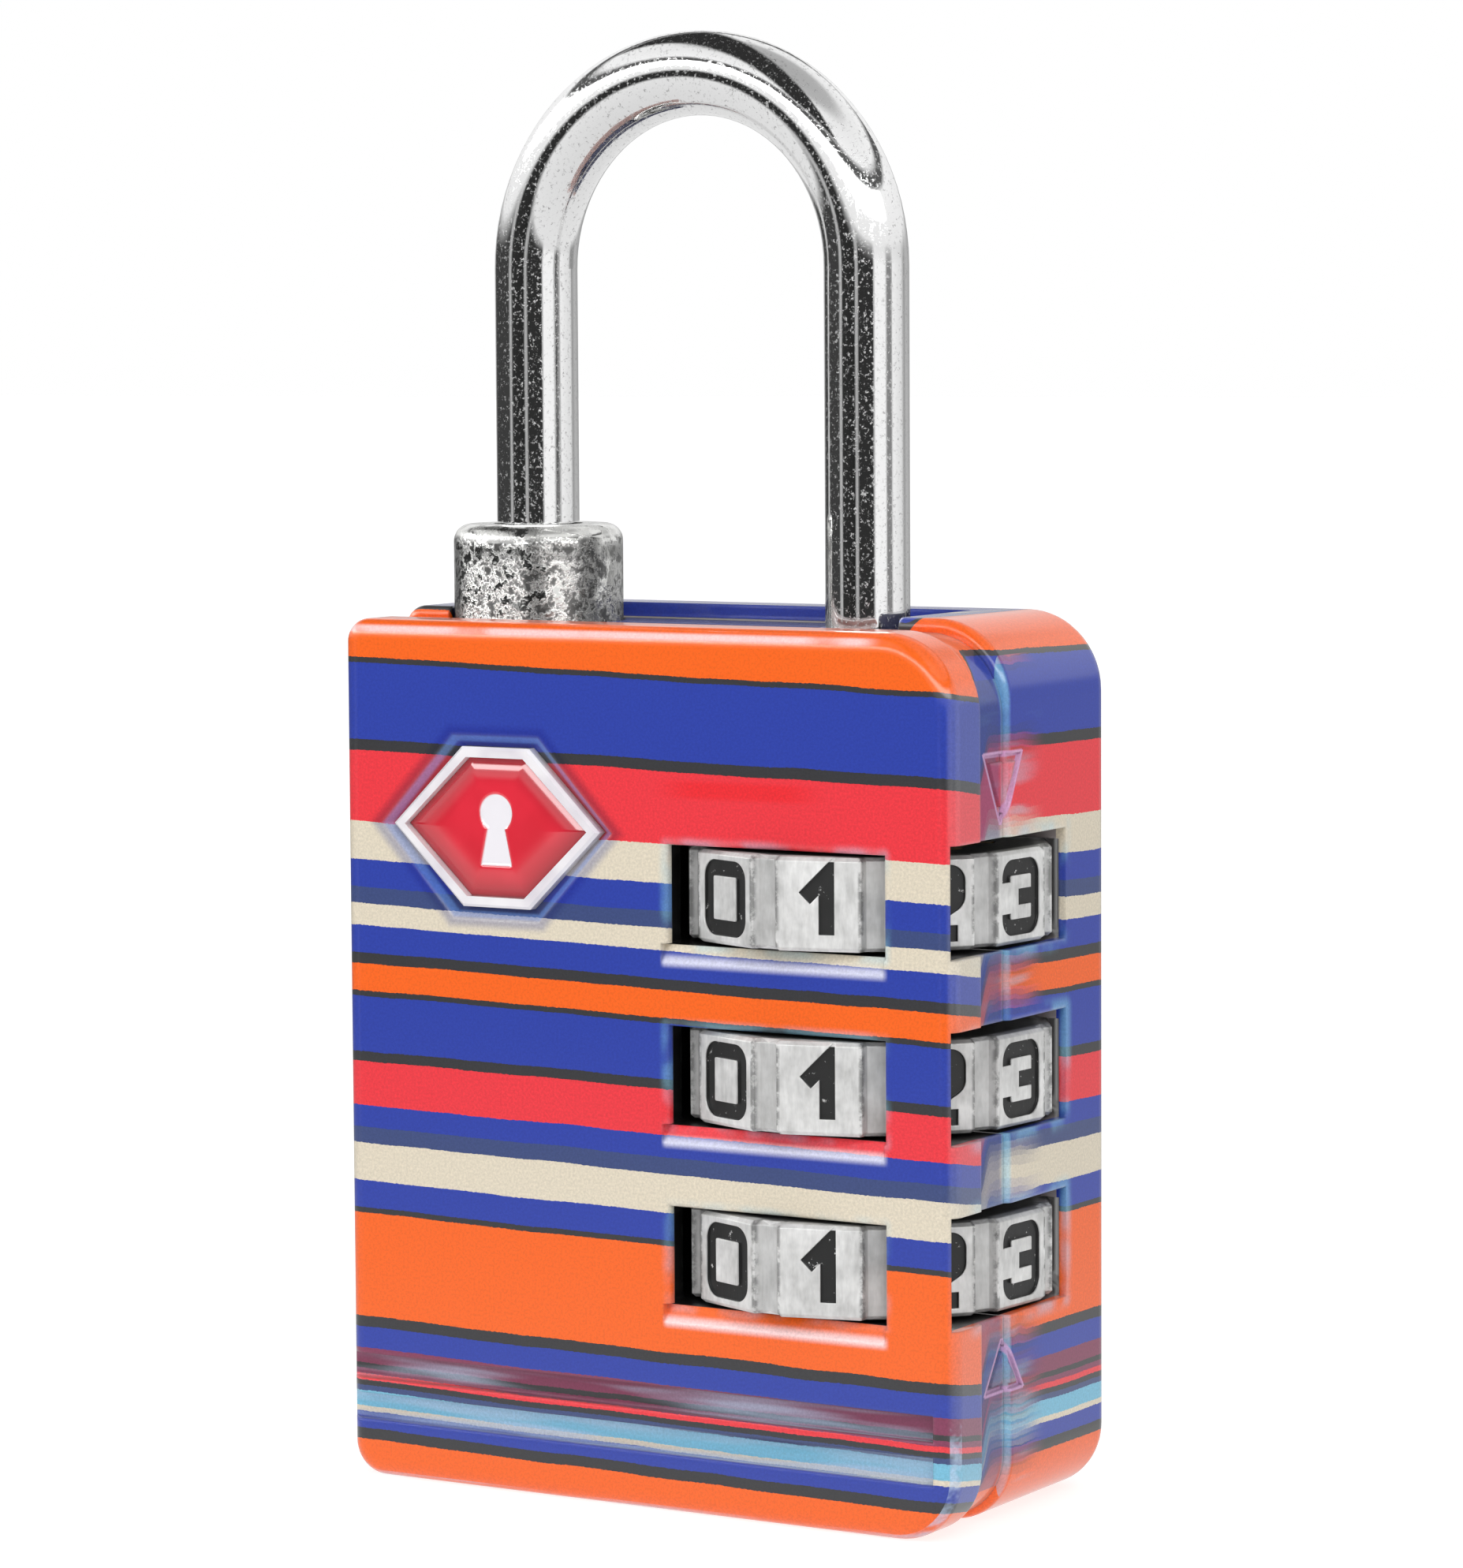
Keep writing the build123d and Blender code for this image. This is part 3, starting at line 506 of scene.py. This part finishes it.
def dial_metal(name):
    """Satin cast dials with black paint in the engraved numerals."""
    net = Net(name)
    dx = net.add(net.x, -DIAL_AXIS_X)
    radius = net.length(dx, net.y)
    step = 360 / DIGITS
    turn = net.math("SUBTRACT", net.math("ARCTAN2", net.y, dx), math.radians(RING_TURN))
    turn = net.math("DIVIDE", turn, math.radians(step))
    off_centre = net.math("SUBTRACT", turn, net.math("ROUND", turn))
    away = net.mul(net.math("ABSOLUTE", off_centre), step)
    depth = net.math("SUBTRACT", DIAL_R * math.cos(math.radians(FLAT_HALF_ANGLE)),
                     net.mul(radius, net.math("COSINE", net.math("RADIANS", away))))
    row = net.math("ABSOLUTE", dial_row(net))
    sunk = net.mul(net.fade(depth, 0.04, 0.08), net.below(away, 11.9), net.below(depth, DIGIT_DEPTH + 0.06),
                   net.below(row, DIAL_HALF - 0.03))
    finger = net.mul(net.above(away, FLAT_HALF_ANGLE + 0.3), net.below(depth, 0.5))
    brushed = net.noise(4.0, 3.0, 0.65, net.stretch((1, 1, 0.25)))
    blot = net.noise(0.7, 3.0, 0.6)
    metal = net.ramp(net.add(net.mul(brushed, 0.35), net.mul(blot, 0.65)),
                     ((0.3, linear((0.7, 0.7, 0.695))), (0.7, linear((0.94, 0.94, 0.935)))))
    # painted shade: the finger grooves between the flats turned greyer
    metal = net.mix(net.mul(finger, 0.3), metal, linear((0.5, 0.5, 0.5)))
    # painted shade along the facet edges, and darker still further in from the flats
    edge = net.mul(net.near(away, FLAT_HALF_ANGLE, 1.3, 0.3), net.fade(net.noise(1.6, 4.0, 0.7), 0.4, 0.58))
    metal = net.mix(net.mul(edge, 0.65), metal, linear((0.25, 0.25, 0.25)))
    metal = net.mix(net.fade(depth, 0.5, 0.9), metal, linear((0.42, 0.42, 0.42)))
    chips = net.mul(sunk, net.fade(net.noise(3.5, 4.0, 0.7), 0.64, 0.7))
    paint = net.math("SUBTRACT", sunk, net.mul(chips, 0.8), clamp=True)
    colour = net.mix(paint, metal, linear((0.09, 0.09, 0.09)))
    roughness = net.add(net.mul(brushed, 0.22), 0.26)
    normal = net.bump(brushed, 0.16, 0.04, net.soft_edge(0.07))
    shine = net.mul(net.math("SUBTRACT", 1.0, paint), 0.3)
    return net.set(color=colour, metallic=shine, roughness=roughness, normal=normal)


def turned_metal(name, light, dark, roughness, scale=3.0):
    """Machined inner part: fine turning marks round the upright axis."""
    net = Net(name)
    rings = net.noise(scale, 3.0, 0.6, net.stretch((0.15, 0.15, 3.0)))
    blot = net.noise(0.6, 3.0)
    colour = net.mix(net.add(net.mul(rings, 0.6), net.mul(blot, 0.4)), linear(dark), linear(light))
    return net.set(color=colour, metallic=1.0, roughness=net.add(roughness, net.mul(blot, 0.15)),
                   normal=net.bump(rings, 0.25, 0.03))


def enamel(name, colour, deep):
    """Glossy enamel that pools a little deeper in places."""
    net = Net(name)
    cloud = net.noise(0.45, 2.0)
    base = net.mix(net.fade(cloud, 0.3, 0.7), linear(deep), linear(colour))
    ripple = net.noise(1.2, 2.0)
    return net.set(color=base, roughness=net.fade(cloud, 0.0, 1.0, 0.12, 0.22), coat=1.0, coat_roughness=0.04,
                   normal=net.bump(ripple, 0.06, 0.05))


def badge_enamel(name):
    """Clear red enamel, deeper toward its rim, with a white keyhole in the middle."""
    net = Net(name)
    eye_z, eye_r = KEYHOLE_EYE
    top, foot = KEYHOLE_FLARE
    neck, growth = KEYHOLE_NECK
    dx = net.math("ABSOLUTE", net.add(net.x, -BADGE_X))
    up = net.add(net.z, -BADGE_Z)
    eye = net.add(net.length(dx, net.add(up, -eye_z)), -eye_r)
    flank = net.math("SUBTRACT", dx, net.add(neck + growth * top, net.mul(up, -growth)))
    flare = net.largest(flank, net.add(up, -top), net.math("SUBTRACT", foot, up))
    keyhole = net.fade(net.math("MINIMUM", eye, flare), 0.05, -0.03)
    out = hexagon_share(net, BADGE_FIELD)
    red = net.mix(net.fade(out, 0.55, 1.0), linear((0.87, 0.17, 0.24)), linear((0.66, 0.08, 0.15)))
    cloud = net.noise(0.35, 2.0)
    red = net.mix(net.mul(net.fade(cloud, 0.4, 0.65), 0.35), red, linear((0.72, 0.07, 0.13)))
    colour = net.mix(keyhole, red, linear((0.92, 0.91, 0.93)))
    return net.set(color=colour, roughness=net.fade(cloud, 0, 1, 0.1, 0.2), coat=1.0, coat_roughness=0.03)


MATERIALS = {
    "print_paint": printed_paint("printed_film_front"),
    "print_paint_rear": printed_paint("printed_film_rear"),
    "shackle_chrome": chrome("polished_chrome"),
    "collar_plating": rough_plating("cast_plating"),
    "dial_metal": dial_metal("satin_dial"),
    "stud_steel": turned_metal("stud_steel", (0.72, 0.72, 0.72), (0.5, 0.5, 0.5), 0.25),
    "bushing_brass": turned_metal("bushing_brass", (0.85, 0.7, 0.4), (0.65, 0.5, 0.25), 0.28),
    "seat_steel": turned_metal("seat_steel", (0.7, 0.7, 0.71), (0.48, 0.48, 0.5), 0.25),
    "spring_steel": turned_metal("spring_steel", (0.66, 0.66, 0.68), (0.4, 0.4, 0.42), 0.22, 5.0),
    "hub_brass": turned_metal("hub_brass", (0.84, 0.69, 0.4), (0.62, 0.48, 0.24), 0.3),
    "spacer_steel": turned_metal("spacer_steel", (0.74, 0.74, 0.74), (0.5, 0.5, 0.5), 0.28),
    "cam_steel": turned_metal("cam_steel", (0.68, 0.68, 0.69), (0.44, 0.44, 0.45), 0.24),
    "plug_brass": turned_metal("plug_brass", (0.86, 0.71, 0.42), (0.62, 0.49, 0.26), 0.22),
    "wafer_brass": turned_metal("wafer_brass", (0.86, 0.73, 0.44), (0.66, 0.52, 0.28), 0.3),
    "sleeve_brass": turned_metal("sleeve_brass", (0.8, 0.66, 0.38), (0.58, 0.45, 0.24), 0.32),
    "badge_plating": enamel("badge_white", (0.93, 0.92, 0.93), (0.84, 0.82, 0.85)),
    "badge_enamel": badge_enamel("badge_red"),
}

for part in frame["record"]["subparts"]:
    mesh = frame["nodes"][part["node"]].data
    mesh.materials.clear()
    mesh.materials.append(MATERIALS[part["material_slot"]])


def keyhole_distance(x, z):
    """Distance from the outline of a keyhole, below 0 inside: a round eye over a flared slot."""
    eye_z, eye_r = KEYHOLE_EYE
    top, foot = KEYHOLE_FLARE
    neck, growth = KEYHOLE_NECK
    eye = math.hypot(x, z - eye_z) - eye_r
    flare = max(abs(x) - (neck + growth * (top - z)), z - top, foot - z)
    return min(eye, flare)


def hexagon_reach(x, z, size):
    """1 on the outline of the badge hexagon of that size, less inside."""
    half_wide, half_tall, _ = size
    return max(abs(z) / half_tall, abs(x) / half_wide + abs(z) * hexagon_slope(size))


def badge_dome():
    """Domed enamel field with a sunk white keyhole, in place of the plain badge insert."""
    half_wide, half_tall, half_top = BADGE_FIELD
    columns, rows = 120, 84
    edge, crown = 0.16, 0.46         # rise of the field over the seat floor, at its outline and its middle
    keyhole_depth, keyhole_slope = 0.09, 0.08
    shape = bmesh.new()
    grid = {}
    for i in range(columns + 1):
        for k in range(rows + 1):
            z = (2 * k / rows - 1) * half_tall
            reach = half_wide - abs(z) / half_tall * (half_wide - half_top)
            x = (2 * i / columns - 1) * reach
            out = hexagon_reach(x, z, BADGE_FIELD)
            rise = edge + (crown - edge) * (1 - out ** 6)
            sink = keyhole_depth * min(max(0.5 - keyhole_distance(x, z) / keyhole_slope, 0), 1)
            place = (BADGE_X + x, BADGE_FLOOR_Y - rise + sink, BADGE_Z + z)
            grid[i, k] = shape.verts.new([value * MM for value in place])
    for i in range(columns):
        for k in range(rows):
            shape.faces.new((grid[i, k], grid[i + 1, k], grid[i + 1, k + 1], grid[i, k + 1]))
    rim = [line for line in shape.edges if line.is_boundary]
    walls = bmesh.ops.extrude_edge_only(shape, edges=rim)["geom"]
    foot = [item for item in walls if isinstance(item, bmesh.types.BMVert)]
    for vert in foot:
        vert.co.y = BADGE_FLOOR_Y * MM
    bmesh.ops.holes_fill(shape, edges=[line for line in shape.edges if line.is_boundary])
    bmesh.ops.recalc_face_normals(shape, faces=shape.faces)
    mesh = bpy.data.meshes.new("badge_dome")
    shape.to_mesh(mesh)
    shape.free()
    for face in mesh.polygons:
        face.use_smooth = True
    dome = bpy.data.objects.new("badge_dome", mesh)
    bpy.context.scene.collection.objects.link(dome)
    mesh.materials.append(MATERIALS["badge_enamel"])
    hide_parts("badge_insert")
    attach(dome, "housing")


badge_dome()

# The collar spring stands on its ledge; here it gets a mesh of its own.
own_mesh(frame["nodes"]["collar_spring"])

# ---- camera: front right, a little above, long lens ----
CAMERA_AZIMUTH = math.radians(31.27)
CAMERA_PITCH = math.radians(4.573)
CAMERA_ROLL = math.radians(-0.38)
CAMERA_PLACE = Vector((119.28, -198.73, 50.01)) * MM


def add_camera():
    right = Vector((math.cos(CAMERA_AZIMUTH), math.sin(CAMERA_AZIMUTH), 0))
    look = Vector((-math.sin(CAMERA_AZIMUTH) * math.cos(CAMERA_PITCH),
                   math.cos(CAMERA_AZIMUTH) * math.cos(CAMERA_PITCH), -math.sin(CAMERA_PITCH)))
    up = right.cross(look)
    side = right * math.cos(CAMERA_ROLL) + up * math.sin(CAMERA_ROLL)
    top = up * math.cos(CAMERA_ROLL) - right * math.sin(CAMERA_ROLL)
    data = bpy.data.cameras.new("camera")
    data.sensor_width = 36.0
    data.lens = 124.27
    data.shift_x = 0.0237
    data.shift_y = -0.017
    data.clip_start = 0.01
    data.clip_end = 20.0
    camera = bpy.data.objects.new("camera", data)
    bpy.context.scene.collection.objects.link(camera)
    camera.matrix_world = Matrix((
        (side.x, top.x, -look.x, CAMERA_PLACE.x),
        (side.y, top.y, -look.y, CAMERA_PLACE.y),
        (side.z, top.z, -look.z, CAMERA_PLACE.z),
        (0, 0, 0, 1),
    ))
    bpy.context.scene.camera = camera


def add_light(name, place, target, size, power, tall=None):
    data = bpy.data.lights.new(name, "AREA")
    data.size = size
    if tall:
        data.shape = "RECTANGLE"
        data.size_y = tall
    data.energy = power
    light = bpy.data.objects.new(name, data)
    light.visible_glossy = False
    light.location = place
    light.rotation_euler = (Vector(target) - Vector(place)).to_track_quat("-Z", "Y").to_euler()
    bpy.context.scene.collection.objects.link(light)


# ---- studio ----
# What polished metal sees round the horizon: (degrees from +X, brightness).
FLAGS = (
    (-180, 0.05), (-142, 0.05), (-137, 0.5), (-133, 0.5), (-129, 0.03), (-94, 0.02), (-90, 0.45), (-86, 0.45),
    (-82, 0.03), (-44, 0.03), (-38, 1.0), (-10, 1.0), (-4, 0.25), (8, 0.25), (14, 0.95), (45, 0.8),
    (52, 0.3), (66, 0.3), (75, 0.5), (110, 0.35), (121, 0.6), (140, 0.5), (150, 0.06), (180, 0.05),
)
# And above or below it: (sine of the elevation, brightness, how much it covers the flags).
HEIGHTS = (
    (-1.0, 0.75, 1), (-0.2, 0.85, 1), (-0.12, 0.6, 0), (0.06, 0.6, 0), (0.14, 0.9, 1), (0.46, 1.0, 1),
    (0.5, 0.1, 1), (0.56, 0.1, 1), (0.62, 1.0, 1), (0.82, 0.9, 1), (0.9, 0.5, 1), (1.0, 0.45, 1),
)
SOFTBOX = (0.3, 0.46)                # sines of its lower and upper edge
SOFTBOX_POWER = 7.0
SOFTBOX_REACH = (0.2, -0.1)          # it fades out toward the back
BLACK_CARD = (0.6, -0.45, -0.05)     # above this sine, between these reaches along the rig
RIG_TURN = math.radians(31.27)       # the rig is turned this far round from +X


def add_world():
    """White surround, with flags and a softbox that only reflections pick up."""
    world = bpy.data.worlds.new("studio")
    bpy.context.scene.world = world
    world.use_nodes = True
    net = Tree(world.node_tree)
    new = net.tree.nodes.new
    coords = new("ShaderNodeTexCoord")
    split = new("ShaderNodeSeparateXYZ")
    net.link(coords.outputs["Generated"], split.inputs[0])
    x, y, z = split.outputs
    turn = net.add(net.math("DIVIDE", net.math("ARCTAN2", y, x), 2 * math.pi), 0.5)
    rise = net.add(net.mul(z, 0.5), 0.5)
    flags = net.ramp(turn, [((angle + 180) / 360, (level, level, level, 1)) for angle, level in FLAGS])
    steps = [((sine + 1) / 2, (level, level, level, 1)) for sine, level, _ in HEIGHTS]
    cover = [((sine + 1) / 2, (share, share, share, 1)) for sine, _, share in HEIGHTS]
    seen = net.mix(net.ramp(rise, cover), flags, net.ramp(rise, steps))
    across = net.add(net.mul(x, math.cos(RIG_TURN)), net.mul(y, math.sin(RIG_TURN)))
    above, left, right = BLACK_CARD
    card = net.mul(net.fade(z, above - 0.03, above + 0.03), net.fade(across, left - 0.06, left + 0.02),
                   net.fade(across, right + 0.06, right - 0.02))
    seen = net.mix(card, seen, (0.03, 0.03, 0.03, 1))
    low, high = SOFTBOX
    box = net.mul(net.fade(z, low - 0.02, low + 0.02), net.fade(z, high + 0.03, high - 0.03),
                  net.fade(y, *SOFTBOX_REACH))
    glossy = new("ShaderNodeBackground")
    net.link(seen, glossy.inputs[0])
    net.link(net.add(1.0, net.mul(box, SOFTBOX_POWER)), glossy.inputs[1])
    plain = new("ShaderNodeBackground")
    plain.inputs[0].default_value = (1, 1, 1, 1)
    plain.inputs[1].default_value = 0.55
    white = new("ShaderNodeBackground")
    white.inputs[0].default_value = (1, 1, 1, 1)
    rays = new("ShaderNodeLightPath")
    out = new("ShaderNodeOutputWorld")
    result = plain.outputs[0]
    for kind, surround in (("Is Glossy Ray", glossy), ("Is Camera Ray", white)):
        choice = new("ShaderNodeMixShader")
        net.link(rays.outputs[kind], choice.inputs[0])
        net.link(result, choice.inputs[1])
        net.link(surround.outputs[0], choice.inputs[2])
        result = choice.outputs[0]
    net.link(result, out.inputs[0])


def add_floor():
    mesh = bpy.data.meshes.new("floor")
    half = 3.0
    corners = [(-half, -half, 0), (half, -half, 0), (half, half, 0), (-half, half, 0)]
    mesh.from_pydata(corners, [], [(0, 1, 2, 3)])
    floor = bpy.data.objects.new("floor", mesh)
    bpy.context.scene.collection.objects.link(floor)
    net = Net("floor_white")
    shade = net.fade(net.noise(0.02, 2.0), 0.0, 1.0)
    tone = net.mix(shade, linear((0.6, 0.6, 0.6)), linear((0.64, 0.64, 0.64)))
    mesh.materials.append(net.set(color=tone, roughness=0.9, emission_color=linear((1, 1, 1)),
                                  emission_strength=0.8))
    floor.visible_glossy = False


add_camera()
add_light("key", (0.35, -0.35, 0.5), (0, 0, 0.03), 0.35, 1.5)
add_light("fill", (-0.4, -0.5, 0.25), (0, 0, 0.03), 0.4, 1.0)
add_light("top", (0.0, -0.05, 0.6), (0, 0, 0.03), 0.3, 0.8)
add_world()
add_floor()
bpy.context.scene.view_settings.view_transform = "Standard"
